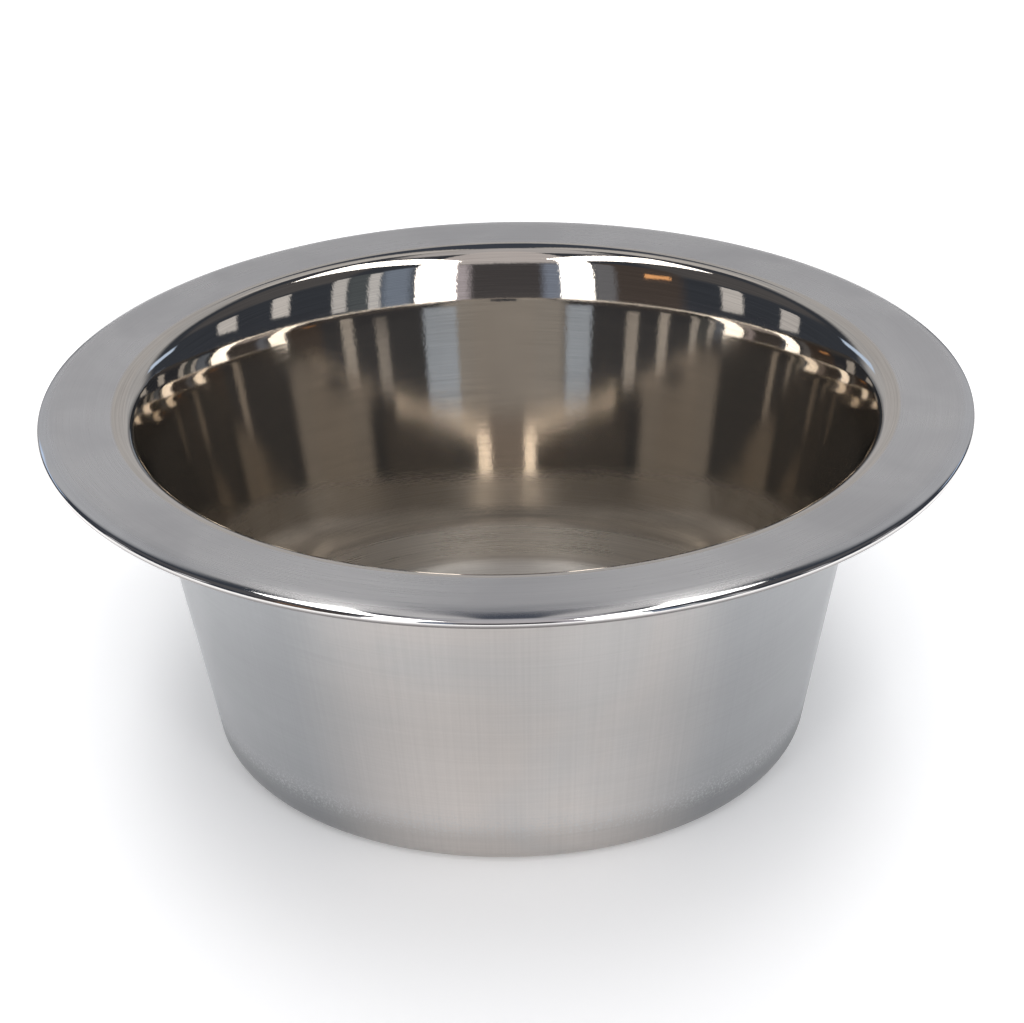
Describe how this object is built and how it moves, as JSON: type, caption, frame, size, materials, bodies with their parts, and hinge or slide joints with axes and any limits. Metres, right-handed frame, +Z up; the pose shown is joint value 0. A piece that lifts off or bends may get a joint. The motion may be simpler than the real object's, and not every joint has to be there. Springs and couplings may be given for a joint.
{
  "type": "dog bowl",
  "caption": "Round deep drawn stainless feeding bowl with a wide flat flange, a curled edge, a tapering wall and a flat bottom; stands on a floor or hangs by its flange in a ring.",
  "frame": {"origin": "centre of the flat underside, on the surface that the bowl stands on", "axes": "+Z up along the axis of the bowl, towards its opening"},
  "size_m": [0.24, 0.24, 0.094],
  "materials": {
    "stainless_steel": "satin outside and on the flange, bright polished shoulder and curled edge"
  },
  "bodies": {
    "root": {"bowl": "stainless_steel"}
  },
  "joints": []
}
